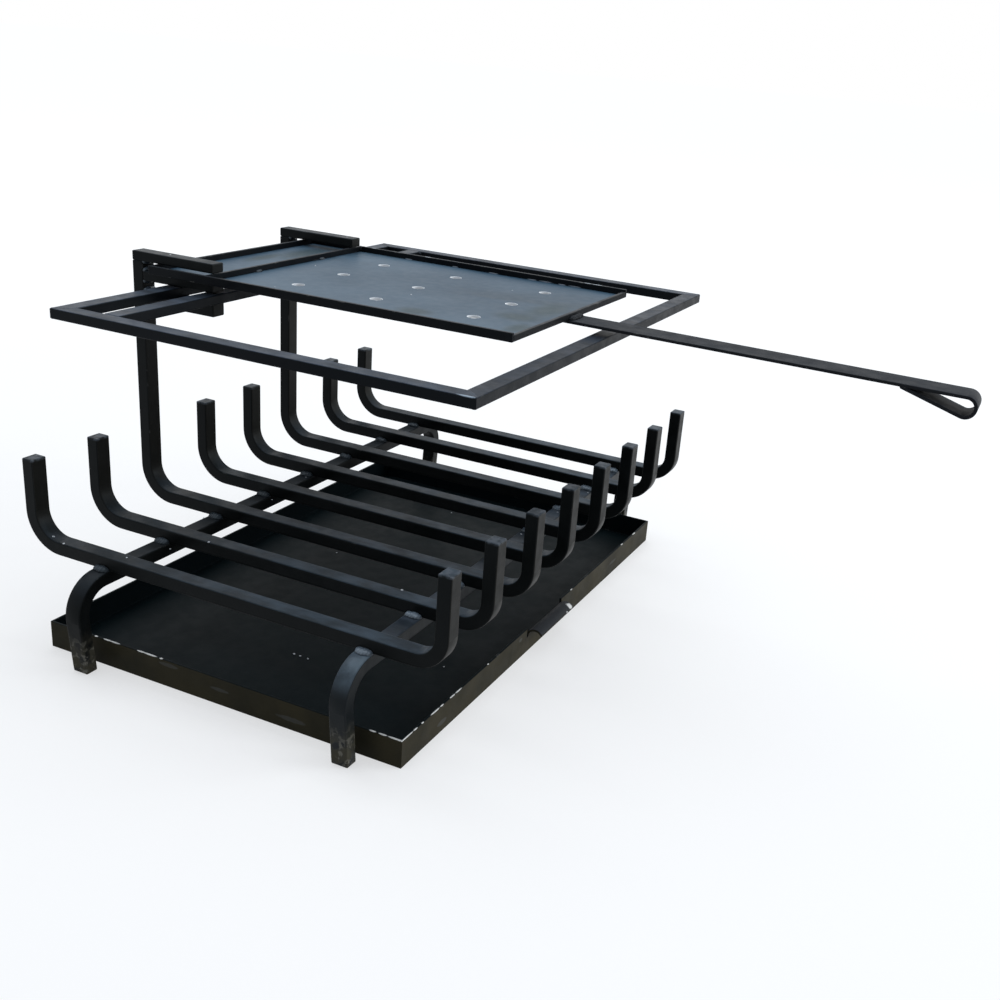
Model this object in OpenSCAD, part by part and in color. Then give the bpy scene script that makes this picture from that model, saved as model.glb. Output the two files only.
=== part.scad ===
// Fireplace grill grate: a log cradle of bent flat bars on two footed rails, with two
// uprights whose fork arms hold a grill frame and a griddle tray over the fire, and a
// shallow ash pan on the floor under it. Millimetres, +Z up, the handle towards -Y.

/* [Bar stock] */
// Width of every flat bar
bar_w = 14; // [12:0.5:16]
// Thickness of the log bars, rails, feet and bottom arms
bar_t = 11; // [8:0.5:12]
// Thickness of the grill frame's bars and of the upper fork arms
slim_t = 8; // [6:0.5:9]

/* [Ash pan] */
// Width of the ash pan
pan_width = 500; // [460:1:540]
// Depth that the ash pan stands in from the cradle's front and back
pan_inset = 27.1; // [20:0.1:35]
// Height of the ash pan
pan_h = 22.5; // [18:0.5:26]
// Thickness of the ash pan's sheet
sheet_t = 2; // [1.5:0.5:2.5]
// Width of the finger lip rolled out of the front wall
lip_w = 66; // [50:1:90]
// Inner radius of the lip's roll
lip_bend = 6; // [4:0.5:8]
// Angle that the lip is rolled through, in degrees
lip_angle = 150; // [120:5:170]
// Middle of the lip, to the left of the ash pan's middle
lip_offset = 12; // [0:1:30]
// Width of the slit that frees each end of the lip
lip_slit = 2; // [1:0.5:3]

/* [Log cradle] */
// Depth of the cradle over the outer faces of its tips
cradle_depth = 381; // [360:1:400]
// Height of the rails' tops, on which the log bars lie
rail_top = 77.5; // [66:0.5:90]
// Height of the tips
tip_top = 152; // [135:1:170]
// Distance of the outer log bars' middles from the ash pan's sides
bar_inset = 16.2; // [14:0.1:24]
// Inner radius of the bend under each front tip
front_bend = 15; // [12:1:20]
// Inner radius of the bend under each back tip and upright
back_bend = 21; // [14:1:24]

/* [Rails and feet] */
// Depth of the front rail's middle behind the cradle's front
front_rail_inset = 65.5; // [55:0.5:75]
// Depth of the back rail's middle before the cradle's back
back_rail_inset = 76.5; // [65:0.5:85]
// Free width between the ash pan's sides and the feet, at their bends
foot_gap = 13; // [11:0.5:20]
// Inner radius of the bend from rail to foot
foot_bend = 19; // [12:0.5:19]
// Inward lean of each foot, in degrees
foot_lean = 5.5; // [0:0.5:7]

/* [Fork arms] */
// Distance that the uprights stand behind the back tips
upright_set = 5.5; // [0:0.5:8]
// Reach of the arms before the uprights
arm_reach = 72.5; // [62:0.5:80]
// Height of the grill frame's underside, which lies on the bottom arms
grill_height = 264; // [250:1:290]
// Free height over the grill frame in its slot
frame_gap = 0.6; // [0.4:0.1:1]
// Free height over the tray's rims in their slot
tray_gap = 0.8; // [0.4:0.1:1.5]

/* [Grill frame] */
// Width over the grill frame's sides
frame_width = 459; // [430:1:490]
// Depth of the grill frame from front to back
frame_depth = 356; // [340:1:370]
// Free depth between the grill frame and the uprights
frame_inset = 23; // [16:0.5:28]
// Distance of the cross bar's middle from the back bar's middle
cross_pitch = 39; // [34:0.5:44]

/* [Griddle tray] */
// Width over the tray's rims
tray_width = 228; // [220:1:240]
// Depth of the tray from front to back
tray_depth = 334; // [320:1:350]
// Free depth between the tray and the uprights
tray_inset = 12; // [8:0.5:16]
// Height of the side and back rims
rim_h = 7; // [6:0.5:9]
// Height of the front rim
front_rim_h = 5; // [4:0.5:9]
// Thickness of the rims and of the divider
rim_t = 3; // [2.5:0.5:4]
// Thickness of the griddle plate
plate_t = 2; // [1.5:0.5:3]
// Depth of the divider's middle before the tray's back
back_bay = 57.5; // [45:0.5:70]
// Diameter of the drain holes
hole_d = 10; // [6:0.5:12]
// Distance between the middles of neighbouring holes, across the tray
hole_pitch = 65.5; // [55:0.5:75]
// Depth of the front row of holes behind the tray's front
front_row_depth = 57; // [45:1:70]
// Depth of the middle row of holes behind the tray's front
middle_row_depth = 145; // [135:1:155]
// Depth of the back row of holes behind the tray's front
back_row_depth = 220; // [205:1:235]

/* [Handle] */
// Width of the handle's strip
handle_w = 27; // [22:1:32]
// Thickness of the handle's strip
handle_t = 2.5; // [2:0.5:4]
// Length of the handle before the tray, its loop included
handle_length = 313; // [280:1:340]
// Length of the strip's end that is welded under the griddle plate
handle_lap = 40; // [30:1:50]
// Downward slope of the handle, in degrees
handle_droop = 0.6; // [0:0.1:1]
// Outer radius of the loop at the handle's end
loop_r = 8.5; // [8:0.5:12]
// Length of the loop from its round end's middle to the point where it closes
loop_length = 41; // [36:1:60]
// Length of strip welded on behind the point where the loop closes
loop_lap = 5; // [4:0.5:8]

/* [Welds] */
// Radius of the fillet beads on the cradle and over the handle
bead_r = 3; // [2:0.5:3.5]
// Radius of the tack welds on the griddle tray
tack_r = 1.8; // [1.5:0.1:2]
// Length of the tack welds on the griddle tray
tack_length = 8; // [5:0.5:10]
// Distance of the tacks on the divider from the tray's middle
tack_offset = 46; // [35:1:60]

/* [Hidden] */
$fn = 96;

// Number of log bars, and the ones that rise into the uprights
bar_count = 8;
left_upright = bar_count / 2 - 1;
right_upright = bar_count / 2 + 2;
bar_pitch = (pan_width - 2 * bar_inset) / (bar_count - 1);
// Share of an arc's radius by which the wedge that trims it reaches past it
wedge_share = 2;
// Overrun of every cut past the faces it opens
cut = 1;

// Heights of the stack held by the fork arms
bottom_arm_z = grill_height - bar_t;
middle_arm_z = grill_height + slim_t + frame_gap;
tray_z = middle_arm_z + slim_t;
top_arm_z = tray_z + rim_h + tray_gap;

// Depths behind the middle of the ash pan, which is the cradle's middle too
cradle_back = cradle_depth / 2;
back_rail_y = cradle_back - back_rail_inset;
upright_back = cradle_back + upright_set;
upright_face = upright_back - bar_t;
frame_back = upright_face - frame_inset;
tray_back = upright_face - tray_inset;
divider_y = tray_back - back_bay;

// Depths before the middle of the ash pan
front_rail_y = front_rail_inset - cradle_back;
arm_front = upright_face - arm_reach;
frame_front = frame_back - frame_depth;
tray_front = tray_back - tray_depth;

// Sizes across, and the ash pan's depth
foot_span = pan_width + 2 * (foot_gap + bar_t);
frame_half = frame_width / 2;
tray_half = tray_width / 2;
tray_inner_w = tray_width - 2 * rim_t;
pan_half = pan_width / 2;
pan_depth = cradle_depth - 2 * pan_inset;

// Front of the sloping handle, and the middle of the whole depth, which the origin is under
loop_reach = handle_length - loop_r;
loop_y = tray_front - loop_reach * cos(handle_droop) + loop_r * sin(handle_droop);
origin_shift = -(upright_back + loop_y - loop_r) / 2;

// Angle between the two straight sides of the handle's loop
loop_slope = 2 * atan((loop_r - handle_t) / loop_length);

function bar_x(i) = (i - (bar_count + 1) / 2) * bar_pitch;

// Places children drawn in depths from the ash pan's middle in the object's frame
module place() {
    translate([0, origin_shift, 0])
        children();
}

// Turns a flat outline (depth, height) into a piece of the given width along X
module side_outline(width) {
    rotate([90, 0, 90])
        translate([0, 0, -width / 2])
            linear_extrude(height = width)
                children();
}

// Turns a flat outline (width, height) into a piece of the given depth along Y
module front_outline(depth) {
    rotate([90, 0, 0])
        translate([0, 0, -depth / 2])
            linear_extrude(height = depth)
                children();
}

// Flat wedge between two angles, for arcs of up to a third of a turn
module wedge(radius, from, to) {
    far = radius * wedge_share;
    mid = (from + to) / 2;
    polygon([
        [0, 0],
        [far * cos(from), far * sin(from)],
        [far * cos(mid), far * sin(mid)],
        [far * cos(to), far * sin(to)]
    ]);
}

// Outline of a bend: a ring's stretch between two angles
module bend(inner, thick, from, to) {
    intersection() {
        difference() {
            circle(r = inner + thick);
            circle(r = inner);
        }
        wedge(inner + thick, from, to);
    }
}

// One log bar in side view, bent up at both ends, to a back end's outer face and height
module log_bar_outline(back, back_top) {
    front_y = bar_t + front_bend - cradle_back;
    back_y = back - bar_t - back_bend;
    inner_z = rail_top + bar_t;
    translate([front_y, rail_top])
        square([back_y - front_y, bar_t]);
    translate([front_y, inner_z + front_bend])
        bend(front_bend, bar_t, 180, 270);
    translate([-cradle_back, inner_z + front_bend])
        square([bar_t, tip_top - inner_z - front_bend]);
    translate([back_y, inner_z + back_bend])
        bend(back_bend, bar_t, 270, 360);
    translate([back - bar_t, inner_z + back_bend])
        square([bar_t, back_top - inner_z - back_bend]);
}

module log_bar(i, back, back_top) {
    color("#1d1f21")
        place()
            translate([bar_x(i), 0, 0])
                side_outline(bar_w)
                    log_bar_outline(back, back_top);
}

// The space under a rail in front view, between its leaning feet, grown by a thickness
module rail_arch(grow) {
    radius = foot_bend + grow;
    bend_x = foot_span / 2 - bar_t - foot_bend;
    bend_z = rail_top - bar_t - foot_bend;
    translate([-bend_x, -cut])
        square([2 * bend_x, bend_z + radius + cut]);
    for (side = [0, 1])
        mirror([side, 0])
            translate([bend_x, bend_z]) {
                circle(r = radius);
                rotate([0, 0, -foot_lean])
                    translate([-foot_bend, -rail_top])
                        square([foot_bend + radius, rail_top]);
            }
}

// A rail with its two feet in front view, cut level with the floor
module rail_outline() {
    intersection() {
        difference() {
            rail_arch(bar_t);
            rail_arch(0);
        }
        translate([-foot_span / 2, 0])
            square([foot_span, rail_top]);
    }
}

module rail(y) {
    color("#1b1d1e")
        place()
            translate([0, y, 0])
                front_outline(bar_w)
                    rail_outline();
}

module front_rail() {
    rail(front_rail_y);
}

module back_rail() {
    rail(back_rail_y);
}

module log_bar_1() {
    log_bar(1, cradle_back, tip_top);
}

module log_bar_2() {
    log_bar(2, cradle_back, tip_top);
}

module log_bar_3() {
    log_bar(left_upright, upright_back, top_arm_z);
}

module log_bar_4() {
    log_bar(4, cradle_back, tip_top);
}

module log_bar_5() {
    log_bar(5, cradle_back, tip_top);
}

module log_bar_6() {
    log_bar(right_upright, upright_back, top_arm_z);
}

module log_bar_7() {
    log_bar(7, cradle_back, tip_top);
}

module log_bar_8() {
    log_bar(8, cradle_back, tip_top);
}

// A fork arm on one upright: the top arm lies on the upright, the others butt its face
module fork_arm(upright, back_y, z, thick) {
    color("#202224")
        place()
            translate([bar_x(upright) - bar_w / 2, arm_front, z])
                cube([bar_w, back_y - arm_front, thick]);
}

module top_arm_left() {
    fork_arm(left_upright, upright_back, top_arm_z, slim_t);
}

module top_arm_right() {
    fork_arm(right_upright, upright_back, top_arm_z, slim_t);
}

module middle_arm_left() {
    fork_arm(left_upright, upright_face, middle_arm_z, slim_t);
}

module middle_arm_right() {
    fork_arm(right_upright, upright_face, middle_arm_z, slim_t);
}

module bottom_arm_left() {
    fork_arm(left_upright, upright_face, bottom_arm_z, bar_t);
}

module bottom_arm_right() {
    fork_arm(right_upright, upright_face, bottom_arm_z, bar_t);
}

// A fillet bead along Y in the corner of the planes x = 0 and z = 0, with domed ends
module bead(radius, length) {
    straight = length - 2 * radius;
    rotate([90, 0, 0])
        translate([0, 0, -straight / 2])
            linear_extrude(height = straight)
                bead_outline(radius);
    for (side = [0, 1])
        mirror([0, side, 0])
            translate([0, straight / 2, 0])
                rotate_extrude(angle = 90)
                    bead_outline(radius);
}

module bead_outline(radius) {
    intersection() {
        circle(r = radius);
        square([radius, radius]);
    }
}

// Beads on both sides of every log bar, where it lies on a rail
module rail_welds() {
    color("#2a2c2d")
        place()
            for (y = [front_rail_y, back_rail_y], i = [1 : bar_count])
                translate([bar_x(i), y, rail_top])
                    for (side = [0, 1])
                        mirror([side, 0, 0])
                            translate([bar_w / 2, 0, 0])
                                bead(bead_r, bar_w);
}

// A bead along X in the corner between an upright's face and an arm above or below it
module arm_bead(z, side) {
    translate([0, upright_face, z])
        mirror([0, 0, side])
            cross_bead(bead_r, bar_w);
}

module arm_welds() {
    color("#2a2c2d")
        place()
            for (i = [left_upright, right_upright])
                translate([bar_x(i), 0, 0]) {
                    arm_bead(top_arm_z, 1);
                    arm_bead(tray_z, 0);
                    arm_bead(middle_arm_z, 1);
                    arm_bead(grill_height, 0);
                    arm_bead(bottom_arm_z, 1);
                }
}

// A bar of the grill frame with both ends cut to a mitre, its outer edge on y = 0
module mitred_bar(length) {
    linear_extrude(height = slim_t)
        polygon([
            [-length / 2, 0],
            [length / 2, 0],
            [length / 2 - bar_w, bar_w],
            [bar_w - length / 2, bar_w]
        ]);
}

module frame_side(side) {
    color("#232528")
        place()
            mirror([side, 0, 0])
                translate([-frame_half, (frame_back + frame_front) / 2, grill_height])
                    rotate([0, 0, -90])
                        mitred_bar(frame_depth);
}

module frame_side_left() {
    frame_side(0);
}

module frame_side_right() {
    frame_side(1);
}

module frame_front_bar() {
    color("#232528")
        place()
            translate([0, frame_front, grill_height])
                mitred_bar(frame_width);
}

module frame_back_bar() {
    color("#232528")
        place()
            translate([0, frame_back, grill_height])
                mirror([0, 1, 0])
                    mitred_bar(frame_width);
}

module frame_cross_bar() {
    inner = frame_width - 2 * bar_w;
    color("#232528")
        place()
            translate([-inner / 2, frame_back - bar_w - cross_pitch, grill_height])
                cube([inner, bar_w, slim_t]);
}

// The griddle plate, set inside the rims, with three rows of drain holes
module tray_plate() {
    color("#1f2326")
        place()
            difference() {
                translate([-tray_inner_w / 2, tray_front + rim_t, tray_z])
                    cube([tray_inner_w, tray_depth - 2 * rim_t, plate_t]);
                for (x = [-hole_pitch, 0, hole_pitch])
                    for (depth = [front_row_depth, middle_row_depth, back_row_depth])
                        translate([x, tray_front + depth, tray_z - cut])
                            cylinder(d = hole_d, h = plate_t + 2 * cut);
            }
}

module tray_rim_side(side) {
    color("#1c1f22")
        place()
            mirror([side, 0, 0])
                translate([-tray_half, tray_front, tray_z])
                    cube([rim_t, tray_depth, rim_h]);
}

module tray_rim_left() {
    tray_rim_side(0);
}

module tray_rim_right() {
    tray_rim_side(1);
}

// A strip across the tray between its side rims
module tray_strip(back_y, z, height) {
    color("#1c1f22")
        place()
            translate([-tray_inner_w / 2, back_y - rim_t, z])
                cube([tray_inner_w, rim_t, height]);
}

module tray_rim_front() {
    tray_strip(tray_front + rim_t, tray_z, front_rim_h);
}

module tray_rim_back() {
    tray_strip(tray_back, tray_z, rim_h);
}

module tray_divider() {
    tray_strip(divider_y + rim_t / 2, tray_z + plate_t, rim_h - plate_t);
}

// The handle's loop in side view, filled, to a radius round the middle of its round end
module loop_shape(radius) {
    reach = loop_length + loop_lap;
    circle(r = radius);
    intersection() {
        translate([0, -radius])
            square([reach, 2 * radius]);
        rotate([0, 0, loop_slope])
            translate([0, -radius])
                square([reach, 2 * radius]);
    }
}

// The handle in side view: its end under the griddle plate, then a sloping strip and loop
module handle_outline() {
    translate([tray_front, tray_z - handle_t])
        square([handle_lap, handle_t]);
    translate([tray_front, tray_z])
        rotate([0, 0, handle_droop]) {
            translate([-loop_reach, -handle_t])
                square([loop_reach, handle_t]);
            translate([-loop_reach, -loop_r])
                difference() {
                    loop_shape(loop_r);
                    loop_shape(loop_r - handle_t);
                }
        }
}

module tray_handle() {
    color("#34373a")
        place()
            side_outline(handle_w)
                handle_outline();
}

// A bead along X in the corner of a plane facing the front and one facing up
module cross_bead(radius, length) {
    rotate([0, 0, -90])
        bead(radius, length);
}

// Tacks before the divider, and the bead over the handle before the front rim
module tray_welds() {
    color("#2a2c2d")
        place() {
            for (x = [-tack_offset, tack_offset])
                translate([x, divider_y - rim_t / 2, tray_z + plate_t])
                    cross_bead(tack_r, tack_length);
            translate([0, tray_front, tray_z])
                cross_bead(bead_r, handle_w);
        }
}

// The lip in side view, rolled out of the front wall's top and down again
module lip_outline() {
    outer = lip_bend + sheet_t;
    translate([-pan_depth / 2 - lip_bend, pan_h - outer]) {
        bend(lip_bend, sheet_t, 0, 90);
        bend(lip_bend, sheet_t, 90, lip_angle);
        translate([lip_bend, -outer])
            square([sheet_t, outer]);
    }
}

module ash_pan() {
    inner_w = pan_width - 2 * sheet_t;
    inner_d = pan_depth - 2 * sheet_t;
    notch_w = lip_w + 2 * lip_slit;
    notch_h = lip_bend + sheet_t;
    color("#24231f")
        place() {
            difference() {
                translate([-pan_half, -pan_depth / 2, 0])
                    cube([pan_width, pan_depth, pan_h]);
                translate([-inner_w / 2, -inner_d / 2, sheet_t])
                    cube([inner_w, inner_d, pan_h]);
                translate([-lip_offset - notch_w / 2, -pan_depth / 2 - cut, pan_h - notch_h])
                    cube([notch_w, sheet_t + 2 * cut, notch_h + cut]);
            }
            translate([-lip_offset, 0, 0])
                side_outline(lip_w)
                    lip_outline();
        }
}

front_rail();
back_rail();
log_bar_1();
log_bar_2();
log_bar_3();
log_bar_4();
log_bar_5();
log_bar_6();
log_bar_7();
log_bar_8();
top_arm_left();
top_arm_right();
middle_arm_left();
middle_arm_right();
bottom_arm_left();
bottom_arm_right();
rail_welds();
arm_welds();
frame_side_left();
frame_side_right();
frame_front_bar();
frame_back_bar();
frame_cross_bar();
tray_plate();
tray_rim_left();
tray_rim_right();
tray_rim_front();
tray_rim_back();
tray_divider();
tray_handle();
tray_welds();
ash_pan();
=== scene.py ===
"""Fireplace grill grate: looks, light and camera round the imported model."""
import functools
import itertools
import math

import bmesh
import bpy
from mathutils import Matrix, Vector, noise


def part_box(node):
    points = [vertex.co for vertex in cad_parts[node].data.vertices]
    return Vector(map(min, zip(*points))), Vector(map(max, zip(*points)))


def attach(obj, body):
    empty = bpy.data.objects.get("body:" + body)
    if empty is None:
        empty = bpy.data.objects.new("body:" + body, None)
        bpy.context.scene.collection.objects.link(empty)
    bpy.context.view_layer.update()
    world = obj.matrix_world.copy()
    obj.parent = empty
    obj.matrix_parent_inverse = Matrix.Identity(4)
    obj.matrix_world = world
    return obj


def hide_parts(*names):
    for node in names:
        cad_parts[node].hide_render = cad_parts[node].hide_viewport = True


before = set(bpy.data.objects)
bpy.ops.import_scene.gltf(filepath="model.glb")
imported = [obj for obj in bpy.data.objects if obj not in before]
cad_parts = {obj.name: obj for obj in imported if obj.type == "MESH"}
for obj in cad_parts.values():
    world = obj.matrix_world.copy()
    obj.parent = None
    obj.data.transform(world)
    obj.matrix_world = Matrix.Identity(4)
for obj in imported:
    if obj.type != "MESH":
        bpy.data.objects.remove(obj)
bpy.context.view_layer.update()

MM = 0.001
X, Y, Z = Vector((1, 0, 0)), Vector((0, 1, 0)), Vector((0, 0, 1))

# The camera that fits the photograph, for an image of 1000 by 1000 pixels
FOCAL_PX = 1166.47
IMAGE_PX = 1000.0
SENSOR_MM = 36.0
PRINCIPAL_PX = (540.0, 510.0)
CAMERA_AT = Vector((-0.85558, -0.37381, 0.47538))
CAMERA_YAW, CAMERA_PITCH, CAMERA_ROLL = (math.radians(a) for a in (-66.74, -21.36, 4.93))
NEAREST_SEEN = 0.05


def add_camera():
    """The camera at the photograph's viewing angle and framing."""
    forward = Vector((-math.sin(CAMERA_YAW) * math.cos(CAMERA_PITCH),
                      math.cos(CAMERA_YAW) * math.cos(CAMERA_PITCH),
                      math.sin(CAMERA_PITCH)))
    level = forward.cross(Z).normalized()
    rise = level.cross(forward)
    right = math.cos(CAMERA_ROLL) * level + math.sin(CAMERA_ROLL) * rise
    up = -math.sin(CAMERA_ROLL) * level + math.cos(CAMERA_ROLL) * rise
    data = bpy.data.cameras.new("photo_camera")
    data.sensor_width = SENSOR_MM
    data.sensor_fit = "HORIZONTAL"
    data.lens = SENSOR_MM * FOCAL_PX / IMAGE_PX
    data.shift_x = (IMAGE_PX / 2 - PRINCIPAL_PX[0]) / IMAGE_PX
    data.shift_y = (PRINCIPAL_PX[1] - IMAGE_PX / 2) / IMAGE_PX
    data.clip_start = NEAREST_SEEN
    camera = bpy.data.objects.new("photo_camera", data)
    turn = Matrix((right, up, -forward)).transposed()
    camera.matrix_world = Matrix.Translation(CAMERA_AT) @ turn.to_4x4()
    bpy.context.scene.collection.objects.link(camera)
    bpy.context.scene.camera = camera


# Places on the part: front is -Y, where the handle is, and left is -X
PAN_SIDE, PAN_BACK, PAN_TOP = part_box("ash_pan")[1]
PAN_DEPTH = 326.8 * MM  # without its lip
PAN_WALL = PAN_BACK - PAN_DEPTH
PAN_MIDDLE = (PAN_WALL + PAN_BACK) / 2
SHEET = 2 * MM
PLATE_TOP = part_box("tray_plate")[1][2]
TRAY_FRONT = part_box("tray_rim_front")[0][1]
TIP_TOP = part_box("log_bar_1")[1][2]
FRAME_LOW, FRAME_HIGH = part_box("frame_side_left")
HOLE_X = tuple(across * MM for across in (-65.5, 0, 65.5))
HOLE_Y = tuple(TRAY_FRONT + depth * MM for depth in (57, 145, 220))
HOLE_EDGE = (5.45 * MM, 5.15 * MM)


def marks(origin, rows):
    """Middles and half sizes in metres, from rows that give them in mm from an origin."""
    return [(tuple(start + step * MM for start, step in zip(origin, place)),
             tuple(half * MM for half in halves)) for place, halves in rows]


# Where the paint is gone from the ash pan: along its left and front rims, and on its lip
PAN_LEFT_RIM = (-PAN_SIDE, PAN_MIDDLE, PAN_TOP)
PAN_FRONT_RIM = (0, PAN_WALL, PAN_TOP)
PAN_BARE = (
    marks(PAN_LEFT_RIM, [((0.8, y, 0), (0.85, half, 0.55)) for y, half in (
        (116, 1.5), (105, 3.5), (97, 5), (71, 4), (62, 7), (51, 1.5), (-139, 3),
        (-147, 3.5), (-158, 6))])
    + marks(PAN_FRONT_RIM, [((x, 0.4, 0), (half, 0.55, 0.55)) for x, half in (
        (-244, 9), (-231, 3), (-221, 1.5), (-203, 6), (-193, 2.5), (-177, 4), (-168, 5),
        (-119, 1.2), (46, 2), (173, 2.5), (207, 4))])
    + marks(PAN_FRONT_RIM, [((17, -9, -3), (4, 4, 3)), ((8, -12, -6), (2, 2, 3))]))
# Duller scuffs on the ash pan's front and left walls
PAN_SCUFFS = (
    marks(PAN_FRONT_RIM, [((-60, 0, -5), (3, 1, 1.5))])
    + marks((0, PAN_WALL, 0), [((-192, 0, 8), (7, 1, 2)), ((150, 0, 12), (9, 1, 1.5))])
    + marks((-PAN_SIDE, PAN_MIDDLE, 0), [((0, -5, 13), (1, 8, 1.5)),
                                         ((0, 43, 19), (1, 9, 1.6)),
                                         ((0, -70, 9), (1, 12, 2))]))
# Painted highlights: bright bluish marks along the inner face and the top of the griddle
# tray's right rim
TRAY_HIGHLIGHTS = (
    marks((0, PAN_MIDDLE, PLATE_TOP), [((110.6, y, z), (0.7, half, 0.45)) for y, z, half in (
        (-70, 0.4, 5), (-84, 0.5, 7), (-100, 0.4, 4), (-112, 0.5, 6), (60, 0.4, 4),
        (10, 0.5, 3), (-30, 0.4, 5))])
    + marks((0, PAN_MIDDLE, PLATE_TOP), [((112.5, y, 5), (1, half, 0.6)) for y, half in (
        (-124, 3), (-133, 4), (40, 3), (100, 2))]))
# A painted highlight on the grill frame's left side, behind its front corner
FRAME_HIGHLIGHT = marks((FRAME_LOW.x, FRAME_LOW.y, FRAME_HIGH.z), [((0.9, 7, 0), (1, 6, 0.8))])
# Dark stains on the griddle plate
PLATE_STAINS = marks((0, TRAY_FRONT, PLATE_TOP), [
    ((-41, 31, 0), (11, 15, 9)), ((0, 24, 0), (26, 11, 9)), ((-76, 14, 0), (14, 7, 9)),
    ((-82, 100, 0), (9, 12, 9)), ((62, 303, 0), (34, 11, 9)), ((14, 314, 0), (22, 6, 9))])

# Colours of paint, dust and steel, in linear light, and of painted highlights and painted
# bounce light
WHITE = (1.0, 1.0, 1.0)
SKY_TINT = (0.82, 0.92, 1.0)
BARE_STEEL = (0.24, 0.24, 0.23)
# Painted highlights along the griddle tray's right rim
RIM_HIGHLIGHT = (0.40, 0.44, 0.48)
RIM_STEEL = (0.72, 0.72, 0.70)
HOLE_STEEL = (0.84, 0.86, 0.88)
# Painted highlight on the grill frame's corner
CORNER_HIGHLIGHT = (0.34, 0.41, 0.48)
TIP_STEEL = (0.105, 0.120, 0.140)
# Painted highlight on the upper faces of the front rail's bends
BEND_HIGHLIGHT = (0.105, 0.140, 0.170)
RUST = (0.078, 0.072, 0.052)
ASH = (0.20, 0.19, 0.16)
# Dust on the ash pan's outer walls, with painted warm bounce light from the ground
OLIVE_DUST_AND_BOUNCE = (0.042, 0.036, 0.020)
LIP_GREY = (0.030, 0.032, 0.035)
PAN_SCUFF = (0.085, 0.085, 0.078)
SPECK_BRIGHT, SPECK_DULL = (0.62, 0.64, 0.66), (0.20, 0.22, 0.24)
PLATE_DARK, PLATE_LIGHT = (0.014, 0.042, 0.074), (0.054, 0.098, 0.142)
PLATE_STREAK, PLATE_HAZE = (0.010, 0.024, 0.036), (0.11, 0.145, 0.175)
PLATE_STAIN = (0.005, 0.024, 0.032)


class Nodes:
    """Short calls for the nodes of a material or of the world."""

    def __init__(self, tree):
        self.tree = tree

    def plug(self, socket, value):
        """Gives a socket its value, which may be another node's output."""
        if isinstance(value, bpy.types.NodeSocket):
            self.tree.links.new(value, socket)
        elif isinstance(value, tuple) and socket.type == "RGBA":
            socket.default_value = (*value, 1.0)
        else:
            socket.default_value = value

    def add(self, kind, *values, settings=(), **inputs):
        """A node of this kind, with its inputs given in their order or by name."""
        node = self.tree.nodes.new(kind)
        for key, value in dict(settings).items():
            setattr(node, key, value)
        for socket, value in zip(node.inputs, values):
            self.plug(socket, value)
        for key, value in inputs.items():
            self.plug(node.inputs[key], value)
        return node

    def math(self, operation, *values):
        settings = {"operation": operation}
        return self.add("ShaderNodeMath", *values, settings=settings).outputs[0]

    def product(self, *values):
        return functools.reduce(functools.partial(self.math, "MULTIPLY"), values)

    def largest(self, *values):
        return functools.reduce(functools.partial(self.math, "MAXIMUM"), values)

    def vector(self, operation, *values, result="Vector"):
        settings = {"operation": operation}
        return self.add("ShaderNodeVectorMath", *values, settings=settings).outputs[result]

    def span(self, value, low, high, to_low=0.0, to_high=1.0):
        """The value's smooth run from low to high, as a number between the two ends."""
        settings = {"interpolation_type": "SMOOTHSTEP"}
        return self.add("ShaderNodeMapRange", value, low, high, to_low, to_high,
                        settings=settings).outputs[0]

    def blend(self, share, under, over):
        """Two colours mixed by a share from 0 to 1."""
        node = self.add("ShaderNodeMix", share, settings={"data_type": "RGBA"})
        colour_a, colour_b, colour_result = node.inputs[6], node.inputs[7], node.outputs[2]
        self.plug(colour_a, under)
        self.plug(colour_b, over)
        return colour_result

    def background_rays(self):
        """1 for rays that see the background itself, and 0 for those that light things."""
        rays = self.add("ShaderNodeLightPath").outputs
        return self.largest(rays["Is Camera Ray"], rays["Is Glossy Ray"],
                            rays["Is Transmission Ray"])


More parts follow.
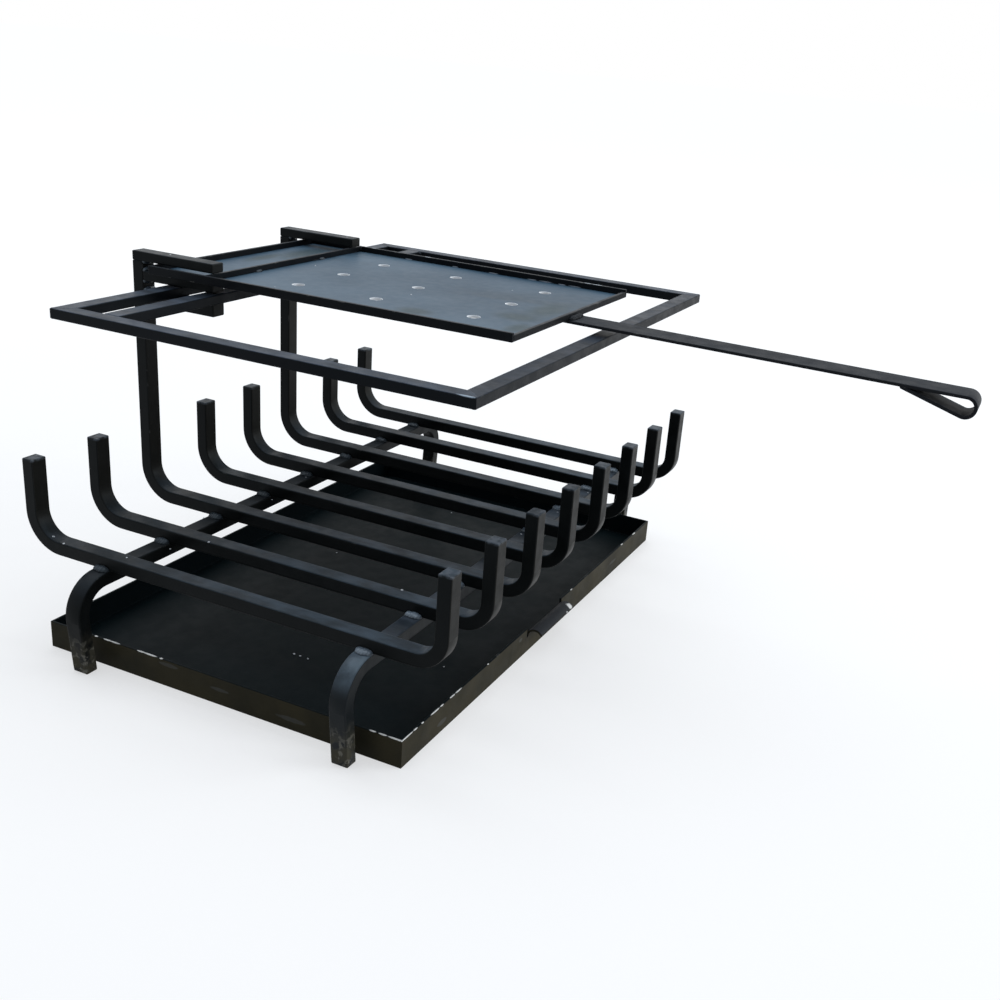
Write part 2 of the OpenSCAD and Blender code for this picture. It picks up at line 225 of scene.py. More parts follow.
class Finish(Nodes):
    """A material, with the calls that its pattern is made of."""

    FACE, EDGE = 0.995, 0.90  # how far the bevelled normal follows the true one
    BEVEL_SAMPLES = 6

    def __init__(self, name, specular, tint=WHITE, roughness=0.5):
        self.material = bpy.data.materials.new(name)
        self.material.use_nodes = True
        super().__init__(self.material.node_tree)
        self.shader = self.tree.nodes["Principled BSDF"]
        self.plug(self.shader.inputs["Roughness"], roughness)
        self.plug(self.shader.inputs["Specular IOR Level"], specular)
        self.plug(self.shader.inputs["Specular Tint"], tint)
        self.place = self.add("ShaderNodeTexCoord").outputs["Object"]
        self.geometry = self.add("ShaderNodeNewGeometry").outputs
        self.xyz = self.add("ShaderNodeSeparateXYZ", self.place).outputs
        self.normal = self.add("ShaderNodeSeparateXYZ", self.geometry["Normal"]).outputs

    def noise(self, scale, detail, shift=0.0, stretch=(1.0, 1.0, 1.0), distortion=0.0):
        """Noise with this many features to the metre, stretched by a factor per axis."""
        mapping = self.add("ShaderNodeMapping", Vector=self.place,
                           Location=(shift, shift, shift), Scale=stretch)
        return self.add("ShaderNodeTexNoise", Vector=mapping.outputs[0], Scale=scale,
                        Detail=detail, Distortion=distortion).outputs["Fac"]

    def edges(self, radius):
        """1 along the edges of the solid and 0 on its faces."""
        bevel = self.add("ShaderNodeBevel", settings={"samples": self.BEVEL_SAMPLES},
                         Radius=radius)
        along = self.vector("DOT_PRODUCT", bevel.outputs[0], self.geometry["True Normal"],
                            result="Value")
        return self.span(along, self.FACE, self.EDGE)

    def facing(self, axis, low, high):
        """How far a face looks along an axis, as a run from low to high."""
        return self.span(self.normal[axis], low, high)

    def bump(self, height, distance, strength, under=None):
        """A normal bent by a height, over the bump under it if there is one."""
        node = self.add("ShaderNodeBump", Height=height, Distance=distance, Strength=strength)
        if under is not None:
            self.plug(node.inputs["Normal"], under)
        return node.outputs[0]

    def finish(self, colour, roughness=None, metallic=None, normal=None):
        """The material, once its shader has been given what varies over the surface."""
        for name, value in (("Base Color", colour), ("Roughness", roughness),
                            ("Metallic", metallic), ("Normal", normal)):
            if value is not None:
                self.plug(self.shader.inputs[name], value)
        return self.material


SPOT_REACH = 1.35  # in half sizes, because the ragged edge is added to the distance
EDGE_WEAR = 1.4 * MM
BAR_BACK, BAR_FRONT = 0.28, 0.04  # between which the painted sheen on the log bars' tops grows towards the handle


def painted(name, dark, light, dust_and_sheen, dust_and_sheen_share, wear, gloss=(0.33, 0.48), specular=0.075,
            patchy=0.42, dents=0.45, painted_front_light=None, fade=None, extra=None):
    """Old satin paint on steel: mottled, dusty with a painted sheen on top, worn along the
    edges.

    patchy is the share of the dusty film and painted sheen where it is thinnest,
    painted_front_light the painted light on the faces towards the handle, fade the share of
    the painted sheen at the back and nearest the handle, and extra adds wear, rust and
    painted highlights.
    """
    f = Finish(name, specular, SKY_TINT)
    colour = f.blend(f.span(f.noise(11.0, 4.0), 0.32, 0.68), dark, light)
    # Painted light: a lighter colour on the faces towards the handle, where the side light
    # falls
    if painted_front_light:
        colour = f.blend(f.facing("Y", -0.3, -0.95), colour, painted_front_light)
    streaks = f.noise(90.0, 6.0, shift=4.4, stretch=(1.0, 0.4, 1.0))
    # Dust and a painted sky sheen on the faces that look up, in patches
    grey = f.product(f.facing("Z", 0.2, 0.95), f.span(streaks, 0.30, 0.70, patchy, 1.1))
    # Painted reflection: the sheen on top is dimmer at the back and brighter towards the
    # handle
    if fade:
        grey = f.product(grey, f.span(f.xyz["Y"], BAR_BACK, BAR_FRONT, *fade))
    colour = f.blend(f.product(grey, dust_and_sheen_share), colour, dust_and_sheen)
    chips = f.product(f.edges(EDGE_WEAR),
                      f.span(f.noise(70.0, 6.0, shift=1.7), 0.66 - wear, 0.74 - wear))
    colour = f.blend(f.product(chips, 0.6), colour, BARE_STEEL)
    roughness = f.span(f.noise(85.0, 5.0, shift=3.1), 0.25, 0.75, *gloss)
    metallic = f.product(chips, 0.5)
    if extra:
        colour, roughness, metallic = extra(f, colour, roughness, metallic)
    grain = f.bump(f.noise(650.0, 4.0, shift=7.7), 0.10 * MM, 0.5)
    dented = f.bump(f.noise(60.0, 3.0, shift=9.2), 0.5 * MM, dents, grain)
    return f.finish(colour, roughness, metallic, dented)


def rusty_feet(f, colour, roughness, metallic):
    """Rust and ash on the lowest part of the feet."""
    low = f.span(f.xyz["Z"], 40 * MM, 6 * MM)
    patch = f.product(low, f.span(f.noise(110.0, 5.0, shift=2.4), 0.34, 0.58))
    speck = f.product(low, f.span(f.noise(190.0, 3.0, shift=6.4), 0.53, 0.64))
    colour = f.blend(patch, colour, RUST)
    colour = f.blend(speck, colour, ASH)
    return colour, f.largest(roughness, f.product(patch, 0.85)), metallic


def rusty_feet_and_highlit_bends(f, colour, roughness, metallic):
    """Rusty feet, under a painted highlight on the upper faces of the bends."""
    colour, roughness, metallic = rusty_feet(f, colour, roughness, metallic)
    bend = f.span(f.math("ABSOLUTE", f.xyz["X"]), 232 * MM, 243 * MM)
    # Painted highlight: a paler bluish colour on the bends' upper faces
    pale = f.product(bend, f.facing("Z", 0.25, 0.95),
                     f.span(f.noise(75.0, 5.0, shift=5.2), 0.34, 0.62, 0.35, 1.0))
    return f.blend(pale, colour, BEND_HIGHLIGHT), roughness, metallic


def worn_tips(f, colour, roughness, metallic, share=1.0):
    """Brighter, chipped paint round the cut ends of the log bars."""
    chipped = f.span(f.noise(190.0, 4.0, shift=8.1), 0.42, 0.62, 0.15, 1.0)
    ends = f.product(f.span(f.xyz["Z"], TIP_TOP - 2.5 * MM, TIP_TOP - 0.5 * MM), chipped,
                     f.span(f.xyz["Z"], TIP_TOP + 2 * MM, TIP_TOP + MM), share)
    return f.blend(f.product(ends, 0.7), colour, TIP_STEEL), roughness, metallic


def worn_front_tips(f, colour, roughness, metallic):
    """Worn tips on a log bar whose back end rises into an upright and has none."""
    return worn_tips(f, colour, roughness, metallic, f.span(f.xyz["Y"], 0.2, 0.1))


def spots(f, places, ragged=0.7, soft=0.2):
    """The largest of several ragged masks, each given by its middle and half sizes."""
    edge = f.product(f.noise(230.0, 3.0, shift=3.3), ragged)
    masks = []
    for middle_at, halves in places:
        offset = f.vector("SUBTRACT", f.place, middle_at)
        scaled = f.vector("MULTIPLY", offset, tuple(1 / half for half in halves))
        length = f.vector("LENGTH", scaled, result="Value")
        masks.append(f.span(f.math("ADD", length, edge), SPOT_REACH + soft,
                            SPOT_REACH - soft))
    return f.largest(*masks)


def ash_pan_wear_and_bounce(f, colour, roughness, metallic):
    """Olive walls, dusty and with painted bounce light from the ground; steel where the rim's
    paint is gone.
    """
    skin = 0.4 * MM
    upright = f.math("SUBTRACT", 1.0, f.math("ABSOLUTE", f.normal["Z"]))
    outside = f.largest(f.span(f.xyz["X"], skin - PAN_SIDE, -PAN_SIDE),
                        f.span(f.xyz["X"], PAN_SIDE - skin, PAN_SIDE),
                        f.span(f.xyz["Y"], PAN_WALL + skin, PAN_WALL),
                        f.span(f.xyz["Y"], PAN_BACK - skin, PAN_BACK))
    # Partly painted bounce light: an olive film on the upright outer walls
    film = f.product(upright, outside,
                     f.span(f.noise(26.0, 5.0, shift=6.1), 0.30, 0.70, 0.55, 1.0))
    colour = f.blend(film, colour, OLIVE_DUST_AND_BOUNCE)
    lip = f.product(f.span(f.xyz["Y"], PAN_WALL - 0.5 * MM, PAN_WALL - 2 * MM),
                    f.facing("Z", -0.2, 0.9))
    colour = f.blend(lip, colour, LIP_GREY)
    colour = f.blend(f.product(spots(f, PAN_SCUFFS), 0.6), colour, PAN_SCUFF)
    # Here only steel where the paint is gone from the rim
    bare_and_highlit = spots(f, PAN_BARE)
    colour = f.blend(bare_and_highlit, colour, RIM_STEEL)
    return colour, roughness, f.largest(metallic, f.product(bare_and_highlit, 0.3))


def highlit_rims(f, colour, roughness, metallic):
    """Painted highlights along the tray's right rim."""
    bare_and_highlit = f.product(spots(f, TRAY_HIGHLIGHTS, 0.5), 0.8)
    return f.blend(bare_and_highlit, colour, RIM_HIGHLIGHT), roughness, metallic


def highlit_corner(f, colour, roughness, metallic):
    """A painted highlight on the grill frame's corner."""
    bare_and_highlit = f.product(spots(f, FRAME_HIGHLIGHT, 0.5, 0.4), 0.9)
    return f.blend(bare_and_highlit, colour, CORNER_HIGHLIGHT), roughness, metallic


# Dust with a painted bluish sheen of sky light, for the faces that look up
DUST_AND_SHEEN = (0.048, 0.062, 0.080)
BAR_PAINT = {"dark": (0.0026, 0.0035, 0.0036), "light": (0.0064, 0.0072, 0.0071)}
# The log bars: painted light on their faces towards the handle, and a painted sheen on top
# that grows towards the handle
LOG_BAR = dict(BAR_PAINT, dust_and_sheen=(0.047, 0.066, 0.086), dust_and_sheen_share=0.78, wear=0.02,
               painted_front_light=(0.013, 0.0128, 0.0112), fade=(0.35, 1.15))
PAINTS = {
    "cradle_black": dict(LOG_BAR, extra=worn_tips),
    "upright_black": dict(LOG_BAR, extra=worn_front_tips),
    "rail_black": dict(
        dark=(0.0045, 0.0062, 0.0075), light=(0.0105, 0.0130, 0.0145), dust_and_sheen=DUST_AND_SHEEN,
        dust_and_sheen_share=0.95, wear=0.04, gloss=(0.28, 0.42), specular=0.12, extra=rusty_feet_and_highlit_bends),
    "back_rail_black": dict(BAR_PAINT, dust_and_sheen=DUST_AND_SHEEN, dust_and_sheen_share=0.22, wear=0.04,
                            extra=rusty_feet),
    "frame_black": dict(
        dark=(0.0022, 0.0032, 0.0046), light=(0.0056, 0.0068, 0.0088),
        dust_and_sheen=(0.052, 0.072, 0.104), dust_and_sheen_share=0.64, wear=0.02, extra=highlit_corner),
    "front_bar_black": dict(
        dark=(0.0020, 0.0030, 0.0044), light=(0.0050, 0.0062, 0.0082),
        dust_and_sheen=(0.040, 0.058, 0.088), dust_and_sheen_share=0.40, wear=0.02),
    "tray_rim_black": dict(
        dark=(0.0030, 0.0038, 0.0050), light=(0.0065, 0.0075, 0.0090), dust_and_sheen=DUST_AND_SHEEN,
        dust_and_sheen_share=0.25, wear=0.06, extra=highlit_rims),
    "handle_grey": dict(
        dark=(0.010, 0.011, 0.013), light=(0.018, 0.019, 0.022), dust_and_sheen=(0.018, 0.023, 0.030),
        dust_and_sheen_share=0.6, wear=0.08, gloss=(0.50, 0.66)),
    "pan_black": dict(
        dark=(0.0026, 0.0050, 0.0062), light=(0.0034, 0.0062, 0.0074),
        dust_and_sheen=(0.0026, 0.0060, 0.0074), dust_and_sheen_share=0.8, wear=0.0, gloss=(0.42, 0.52),
        specular=0.05, patchy=0.8, dents=0.15, extra=ash_pan_wear_and_bounce),
    # The weld beads' light, bluish tops are mostly a painted sheen of sky light
    "weld_black": dict(
        dark=(0.030, 0.040, 0.050), light=(0.070, 0.088, 0.108), dust_and_sheen=(0.20, 0.25, 0.30),
        dust_and_sheen_share=0.8, wear=0.0, gloss=(0.24, 0.42), specular=0.5),
    "dull_weld": dict(
        dark=(0.008, 0.011, 0.014), light=(0.020, 0.026, 0.032), dust_and_sheen=(0.065, 0.083, 0.10),
        dust_and_sheen_share=0.55, wear=0.0, specular=0.2),
    "dark_weld": dict(
        dark=(0.003, 0.0035, 0.0045), light=(0.008, 0.009, 0.011), dust_and_sheen=DUST_AND_SHEEN,
        dust_and_sheen_share=0.12, wear=0.0, gloss=(0.40, 0.55)),
}


def speck_steel():
    """Bright steel of the spatter, dulled in places."""
    f = Finish("speck_steel", specular=0.5)
    dull = f.span(f.noise(900.0, 3.0), 0.45, 0.62)
    uneven = f.bump(f.noise(1500.0, 2.0, shift=1.1), 0.1 * MM, 0.5)
    return f.finish(f.blend(dull, SPECK_BRIGHT, SPECK_DULL),
                    f.span(dull, 0.0, 1.0, 0.30, 0.5), normal=uneven)


def drilled(f):
    """1 on the unpainted walls of the drain holes, up to the holes' edges."""
    flat = f.add("ShaderNodeCombineXYZ", X=f.xyz["X"], Y=f.xyz["Y"]).outputs[0]
    distances = [f.vector("DISTANCE", flat, (x, y, 0.0), result="Value")
                 for x in HOLE_X for y in HOLE_Y]
    return f.largest(*(f.span(distance, *HOLE_EDGE) for distance in distances))


def griddle_steel():
    """A seasoned steel plate: slate grey, streaked and stained by heat and fat."""
    f = Finish("griddle_plate", specular=0.22, tint=(0.62, 0.83, 1.0))
    colour = f.blend(f.span(f.noise(6.0, 4.0), 0.3, 0.7), PLATE_DARK, PLATE_LIGHT)
    streak = f.noise(16.0, 5.0, shift=4.1, stretch=(1.0, 0.35, 1.0), distortion=0.6)
    colour = f.blend(f.span(streak, 0.50, 0.74, 0.0, 0.65), colour, PLATE_STREAK)
    haze = f.span(f.noise(17.0, 4.0, shift=7.2), 0.52, 0.78, 0.0, 0.22)
    colour = f.blend(haze, colour, PLATE_HAZE)
    stained = f.product(spots(f, PLATE_STAINS, 0.5, 0.7), 0.85)
    colour = f.blend(stained, colour, PLATE_STAIN)
    # Painted highlights along the plate's edge by the right rim
    rim_glint = f.product(spots(f, TRAY_HIGHLIGHTS, 0.5), 0.7)
    colour = f.blend(rim_glint, colour, RIM_HIGHLIGHT)
    colour = f.blend(drilled(f), colour, HOLE_STEEL)
    roughness = f.span(f.noise(120.0, 5.0, shift=2.2), 0.25, 0.75, 0.43, 0.48)
    fine = f.bump(f.noise(700.0, 3.0, shift=5.5), 0.05 * MM, 0.25)
    waves = f.bump(f.noise(7.0, 2.0, shift=8.8), 1.5 * MM, 0.2, fine)
    return f.finish(colour, roughness, normal=waves)


def build_finishes():
    """A material for each slot of the record, and those that differ within a slot."""
    finishes = {name: painted(name, **paint) for name, paint in PAINTS.items()}
    finishes["griddle_plate"] = griddle_steel()
    finishes["speck_steel"] = speck_steel()
    return finishes


# Rolled edges of the solids of each slot, in mm
EDGE_WIDTHS = {"cradle_black": 1.1, "rail_black": 1.1, "frame_black": 0.8,
               "tray_rim_black": 0.5, "griddle_plate": 0.3, "handle_grey": 0.6,
               "pan_black": 0.5}
EDGE_SEGMENTS = 3
SAME_POINT = 0.01 * MM
FLAT_ANGLE, EDGE_ANGLE = math.radians(0.5), math.radians(40)
# Nodes whose finish differs from that of their slot
NODE_FINISHES = {"log_bar_3": "upright_black", "log_bar_6": "upright_black",
                 "back_rail": "back_rail_black", "frame_front_bar": "front_bar_black"}


def round_edges(node, width):
    """Rolled edges on a CAD solid, through modifiers that leave its mesh as it is."""
    weld = node.modifiers.new("weld", "WELD")
    weld.merge_threshold = SAME_POINT
    flat = node.modifiers.new("flat", "DECIMATE")
    flat.decimate_type = "DISSOLVE"
    flat.angle_limit = FLAT_ANGLE
    bevel = node.modifiers.new("edges", "BEVEL")
    bevel.width = width
    bevel.segments = EDGE_SEGMENTS
    bevel.limit_method = "ANGLE"
    bevel.angle_limit = EDGE_ANGLE
    bevel.harden_normals = False


def dress_nodes(finishes):
    """The finishes and the rolled edges of the CAD nodes, each of which has one slot."""
    for name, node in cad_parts.items():
        slot = node.material_slots[0].material.name
        node.material_slots[0].material = finishes[NODE_FINISHES.get(name, slot)]
        if slot in EDGE_WIDTHS:
            round_edges(node, EDGE_WIDTHS[slot] * MM)


def link(name, mesh, body, slot, material, *replaced):
    """A new piece of the object from a bmesh."""
    bmesh.ops.recalc_face_normals(mesh, faces=mesh.faces)
    data = bpy.data.meshes.new(name)
    mesh.to_mesh(data)
    mesh.free()
    for polygon in data.polygons:
        polygon.use_smooth = True
    piece = bpy.data.objects.new(name, data)
    data.materials.append(material)
    bpy.context.scene.collection.objects.link(piece)
    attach(piece, body)
    if replaced:
        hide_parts(*replaced)


# Weld beads: length, and width on the faces that out and rise run along
RAIL_BEAD = (13.8 * MM, 5.4 * MM, 3.4 * MM)
ARM_BEAD = (13.6 * MM, 3.0 * MM, 3.0 * MM)
HANDLE_BEAD = (26 * MM, 4.0 * MM, 3.2 * MM)
DIVIDER_TACK = (8 * MM, 1.9 * MM, 1.9 * MM)
CROSS_BAR_BEAD = (6.5 * MM, 2.2 * MM, 2.2 * MM)
TRAY_CORNER_WIDTH = 1.6 * MM
PAN_CORNER_WIDTH = 1.8 * MM
TACK_X = 46 * MM
# How a bead is made: its ripples and lumps, and how far it sinks into the two faces
RIPPLE, RIPPLE_DEPTH, RIPPLE_STEPS = 2.3 * MM, 0.035, 6
LUMP_LENGTH, LUMP_DEPTH, LUMP_SEED = 4 * MM, 0.16, 5.7
BEAD_END = 0.12
BEAD_SIDES = 8
LEAST_STEPS = 14
SINK = 0.3 * MM
# How a ground-down seam is made
SEAM_WIDTH, SEAM_HEIGHT, SEAM_SINK = 4.2 * MM, 0.10 * MM, 0.1 * MM
SEAM_STEP, SEAM_SIDES, SEAM_INSET, SEAM_END = 0.8 * MM, 6, 1 * MM, 0.04
SEAM_LUMPS, SEAM_LUMP_DEPTH, SEAM_SEED = 9, 0.35, 3.1


def close_rings(mesh, rings):
    """A closed solid through rings of points."""
    rings = [[mesh.verts.new(point) for point in ring] for ring in rings]
    for a, b in zip(rings, rings[1:]):
        for k in range(len(a)):
            mesh.faces.new((a[k - 1], a[k], b[k], b[k - 1]))
    mesh.faces.new(rings[0])
    mesh.faces.new(rings[-1])


def add_bead(mesh, corner, along, out, rise, size, seed):
    """A rippled fillet weld in the corner of two faces, tapering to both ends."""
    length, foot, leg = size
    steps = max(LEAST_STEPS, round(length / RIPPLE * RIPPLE_STEPS))
    rings = []
    for i in range(steps + 1):
        s = (i / steps - 0.5) * length
        dome = BEAD_END + (1 - BEAD_END) * (1 - abs(2 * s / length) ** 3) ** 0.5
        ring = [corner + along * s - (out + rise) * SINK]
        for k in range(BEAD_SIDES + 1):
            angle = math.pi / 2 * k / BEAD_SIDES
            phase = 2 * math.pi * (s + 0.5 * RIPPLE * math.sin(2 * angle)) / RIPPLE + seed
            lump = noise.noise(Vector((s / LUMP_LENGTH, seed * LUMP_SEED, angle)))
            swell = dome * (1 + RIPPLE_DEPTH * math.cos(phase) + LUMP_DEPTH * lump)
            side = swell * foot * math.cos(angle) if k < BEAD_SIDES else -SINK
            lift = swell * leg * math.sin(angle) if k > 0 else -SINK
            ring.append(corner + along * s + out * side + rise * lift)
        rings.append(ring)
    close_rings(mesh, rings)


def add_seam(mesh, start, end, up, seed):
    """A ground-down weld seam: a low uneven ridge on a flat face."""
    across = (end - start).normalized().cross(up)
    steps = round((end - start).length / SEAM_STEP)
    rings = []
    for i in range(steps + 1):
        share = i / steps
        fade = math.sin(math.pi * min(SEAM_END + share, SEAM_END + 1 - share)) ** 0.25
        lump = 1 + SEAM_LUMP_DEPTH * noise.noise(
            Vector((share * SEAM_LUMPS, seed * SEAM_SEED, 0)))
        ring = []
        for k in range(SEAM_SIDES + 1):
            angle = math.pi * k / SEAM_SIDES
            inner = 0 < k < SEAM_SIDES
            lift = SEAM_HEIGHT * fade * lump * math.sin(angle) if inner else -SEAM_SINK
            side = SEAM_WIDTH / 2 * fade * lump * math.cos(angle)
            ring.append(start.lerp(end, share) + up * lift + across * side)
        rings.append(ring)
    close_rings(mesh, rings)


def build_rail_beads(finishes, seeds):
    """The beads on both sides of each log bar, where it lies on a rail."""
    for rail, finish in (("front_rail", "weld_black"), ("back_rail", "dull_weld")):
        mesh = bmesh.new()
        rail_low, rail_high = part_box(rail)
        y = (rail_low.y + rail_high.y) / 2
        for i in range(1, 9):
            low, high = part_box(f"log_bar_{i}")
            for x, out in ((low.x, -X), (high.x, X)):
                add_bead(mesh, Vector((x, y, rail_high.z)), Y, out, Z, RAIL_BEAD, next(seeds))
        link(f"{rail}_beads", mesh, "cradle", "weld_black", finishes[finish], "rail_welds")


def build_arm_beads(finishes, seeds):
    """The beads over and under the fork arms, on the fronts of the uprights."""
    mesh = bmesh.new()
    for side in ("left", "right"):
        top_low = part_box(f"top_arm_{side}")[0]
        middle_low, middle_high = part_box(f"middle_arm_{side}")
        bottom_low, bottom_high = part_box(f"bottom_arm_{side}")
        x = (middle_low.x + middle_high.x) / 2
        for z, rise in ((top_low.z, -Z), (middle_high.z, Z), (middle_low.z, -Z),
                        (bottom_high.z, Z), (bottom_low.z, -Z)):
            add_bead(mesh, Vector((x, middle_high.y, z)), X, -Y, rise, ARM_BEAD, next(seeds))
    link("arm_beads", mesh, "cradle", "weld_black", finishes["weld_black"], "arm_welds")


def build_tray_beads(finishes, seeds):
    """The two tacks of the tray's divider, and the bead over the handle."""
    tacks, handle = bmesh.new(), bmesh.new()
    divider_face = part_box("tray_divider")[0].y
    for x in (-TACK_X, TACK_X):
        add_bead(tacks, Vector((x, divider_face, PLATE_TOP)), X, -Y, Z, DIVIDER_TACK,
                 next(seeds))
    rim_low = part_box("tray_rim_front")[0]
    add_bead(handle, Vector((0, rim_low.y, rim_low.z)), X, -Y, Z, HANDLE_BEAD, next(seeds))
    for name, mesh, finish in (("handle_bead", handle, "dark_weld"),
                               ("tray_beads", tacks, "dull_weld")):
        link(name, mesh, "griddle_tray", "weld_black", finishes[finish], "tray_welds")


def build_frame_seams(finishes, seeds):
    """The mitred corners of the grill frame, and the joints of its cross bar."""
    low, high = FRAME_LOW, FRAME_HIGH
    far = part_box("frame_side_right")[1].x
    bar = high.x - low.x
    cross_low, cross_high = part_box("frame_cross_bar")
    mesh = bmesh.new()
    for side in (-1, 1):
        for y, inward in ((low.y, 1), (high.y, -1)):
            for z, up in ((high.z, Z), (low.z, -Z)):
                outer = Vector((side * (far - SEAM_INSET), y + inward * SEAM_INSET, z))
                inner = Vector((side * (far - bar + SEAM_INSET),
                                y + inward * (bar - SEAM_INSET), z))
                add_seam(mesh, outer, inner, up, next(seeds))
        for y, out in ((cross_low.y, -Y), (cross_high.y, Y)):
            corner = Vector((side * cross_high.x, y, (low.z + high.z) / 2))
            add_bead(mesh, corner, Z, -side * X, out, CROSS_BAR_BEAD, next(seeds))
    link("frame_seams", mesh, "grill_frame", "frame_black", finishes["frame_black"])


def build_tray_corners(finishes, seeds):
    """Small beads in the corners of the tray's rims and at the ends of its divider."""
    mesh = bmesh.new()
    for node in ("tray_rim_front", "tray_rim_back", "tray_divider"):
        low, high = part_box(node)
        y, inward = (high.y, Y) if node == "tray_rim_front" else (low.y, -Y)
        for side in (-1, 1):
            corner = Vector((side * high.x, y, (PLATE_TOP + high.z) / 2))
            size = (high.z - PLATE_TOP, TRAY_CORNER_WIDTH, TRAY_CORNER_WIDTH)
            add_bead(mesh, corner, Z, -side * X, inward, size, next(seeds))
    link("tray_corner_beads", mesh, "griddle_tray", "tray_rim_black",
         finishes["tray_rim_black"])


def build_pan_corners(finishes, seeds):
    """Beads in the ash pan's four corners, from its floor to just under its rim."""
    mesh = bmesh.new()
    size = (PAN_TOP - SHEET - MM, PAN_CORNER_WIDTH, PAN_CORNER_WIDTH)
    for side in (-1, 1):
        for y, inward in ((PAN_WALL + SHEET, Y), (PAN_BACK - SHEET, -Y)):
            corner = Vector((side * (PAN_SIDE - SHEET), y, (SHEET + PAN_TOP) / 2))
            add_bead(mesh, corner, Z, -side * X, inward, size, next(seeds))
    link("pan_corner_beads", mesh, "ash_tray", "pan_black", finishes["pan_black"])


# Specks of spatter and bare steel that catch the light: body, and radius and place in mm
SPECKS = {
    "cradle": (
        (1.1, (-237.0, 306, 90.3)), (1.0, (-239.4, 293, 88.4)), (1.0, (-173.0, 206, 88.4)),
        (1.0, (-161, 32.5, 88.4)), (0.8, (-232, 236, 88.4)), (0.8, (-226, 228, 77.5)),
        (0.7, (-182, 238, 77.4)), (0.8, (-151, 240, 77.3)), (0.7, (-113, 262, 76)),
        (0.9, (-86, 247, 77.4)), (0.7, (-46, 240, 77.3)), (0.7, (20, 250, 77.4)),
        (0.8, (-156, 21, 76)), (0.8, (-155, 7, 76.5)), (0.7, (-222, 10, 77.4)),
        (0.8, (-118, 12, 77.4)), (0.7, (-50, 9, 77.4)), (0.8, (16, 17, 77.4)),
        (0.7, (84, 12, 77.4)), (0.8, (150, 9, 77.4)), (0.8, (-100.5, 300, 296.3)),
        (0.7, (100, 262, 296.3))),
    "ash_tray": (
        (0.9, (-158.8, 133, 2.2)), (0.8, (-158.9, 127, 2.1)), (0.9, (-159.4, 119, 2.2)),
        (0.7, (-60, 40, 2.1)), (0.8, (120, 60, 2.1)), (0.7, (30, 220, 2.1)),
        (0.6, (-110, 20, 2.1)), (0.7, (190, 180, 2.1))),
    "griddle_tray": (
        (0.8, (-30, 112, 282.6)), (0.6, (52, 60, 282.6)), (0.6, (-88, 205, 282.6)),
        (0.7, (15, 238, 282.6))),
}
SPECK_SHAPE = (1.0, 1.15, 0.55)
SPECK_LUMP_LENGTH, SPECK_LUMP_DEPTH, SPECK_SEED = 0.9 * MM, 0.25, 90


def build_specks(material):
    """Low drops stuck to the metal, each a little uneven."""
    for body, places in SPECKS.items():
        mesh = bmesh.new()
        for radius, place in places:
            at = Vector(place) * MM
            drop = bmesh.ops.create_icosphere(mesh, subdivisions=2, radius=radius * MM)
            for vert in drop["verts"]:
                lump = noise.noise(vert.co / SPECK_LUMP_LENGTH + at * SPECK_SEED)
                low = Vector([c * share for c, share in zip(vert.co, SPECK_SHAPE)])
                vert.co = low * (1 + SPECK_LUMP_DEPTH * lump) + at
        link(f"specks_on_{body}", mesh, body, "weld_black", material)


# The floor: its colours where it lights things and where it is seen, and its glow there,
# which grows with the distance from the object
FLOOR_HALF = 30
FLOOR_LIT, FLOOR_SEEN = (0.40, 0.37, 0.33), (0.45, 0.45, 0.45)
GLOW_FROM, GLOW_TO = (0.5, 0.56), (3.5, 0.83)
# The world's light on the object, and the studio lamps: place, width and power
WORLD_LIGHT = (0.36, 0.40, 0.46)
LAMPS = {"top_lamp": ((0.5, 0.7, 2.4), 2.4, 38.0),
         "side_lamp": ((1.2, -2.4, 1.3), 1.6, 44.0)}
LAMP_COLOUR = (0.95, 0.98, 1.0)
LAMP_AIM = Vector((0, 0.05, 0.15))


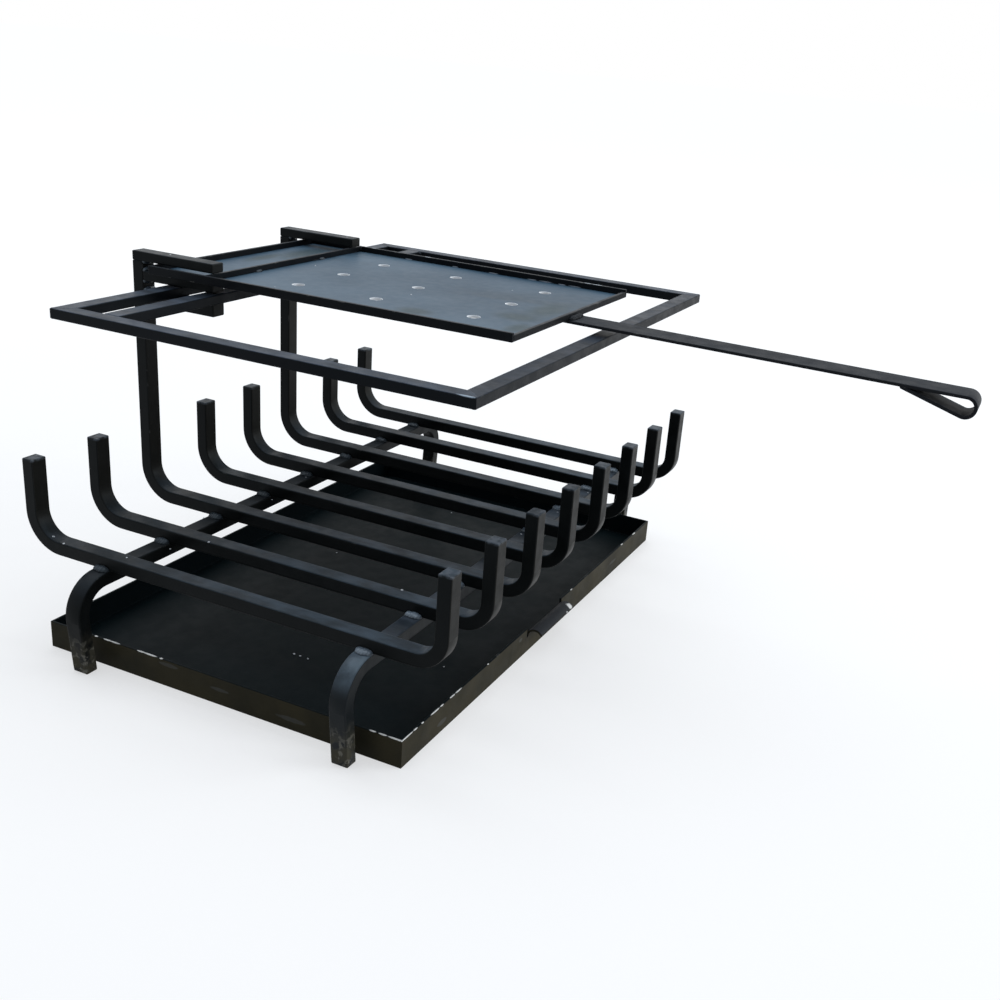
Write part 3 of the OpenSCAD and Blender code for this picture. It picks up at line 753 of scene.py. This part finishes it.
def build_floor():
    """A pale floor that looks white and keeps the object's shadow."""
    f = Finish("floor", specular=0.0, roughness=0.9)
    seen = f.background_rays()
    distance = f.vector("LENGTH", f.place, result="Value")
    glow = f.span(distance, GLOW_FROM[0], GLOW_TO[0], GLOW_FROM[1], GLOW_TO[1])
    f.plug(f.shader.inputs["Emission Color"], WHITE)
    f.plug(f.shader.inputs["Emission Strength"], f.product(seen, glow))
    mesh = bpy.data.meshes.new("floor")
    corners = [(x * FLOOR_HALF, y * FLOOR_HALF, 0)
               for x, y in ((-1, -1), (1, -1), (1, 1), (-1, 1))]
    mesh.from_pydata(corners, [], [(0, 1, 2, 3)])
    mesh.materials.append(f.finish(f.blend(seen, FLOOR_LIT, FLOOR_SEEN)))
    floor = bpy.data.objects.new("floor", mesh)
    bpy.context.scene.collection.objects.link(floor)


def build_lights():
    """A white surround, dimmer for what it lights, and two soft studio lamps."""
    world = bpy.data.worlds.new("world")
    bpy.context.scene.world = world
    world.use_nodes = True
    sky = Nodes(world.node_tree)
    back = sky.tree.nodes["Background"].inputs
    sky.plug(back["Color"], sky.blend(sky.background_rays(), WORLD_LIGHT, WHITE))
    sky.plug(back["Strength"], 1.0)
    for name, (at, size, power) in LAMPS.items():
        data = bpy.data.lights.new(name, "AREA")
        data.shape = "SQUARE"
        data.size = size
        data.energy = power
        data.color = LAMP_COLOUR
        lamp = bpy.data.objects.new(name, data)
        lamp.location = at
        lamp.rotation_euler = (LAMP_AIM - Vector(at)).to_track_quat("-Z", "Y").to_euler()
        bpy.context.scene.collection.objects.link(lamp)


add_camera()
finishes = build_finishes()
dress_nodes(finishes)
weld_seeds = itertools.count(1)
build_rail_beads(finishes, weld_seeds)
build_arm_beads(finishes, weld_seeds)
build_tray_beads(finishes, weld_seeds)
seam_seeds = itertools.count(101)
build_frame_seams(finishes, seam_seeds)
build_tray_corners(finishes, seam_seeds)
build_pan_corners(finishes, seam_seeds)
build_specks(finishes["speck_steel"])
build_floor()
build_lights()
bpy.context.scene.view_settings.view_transform = "Standard"
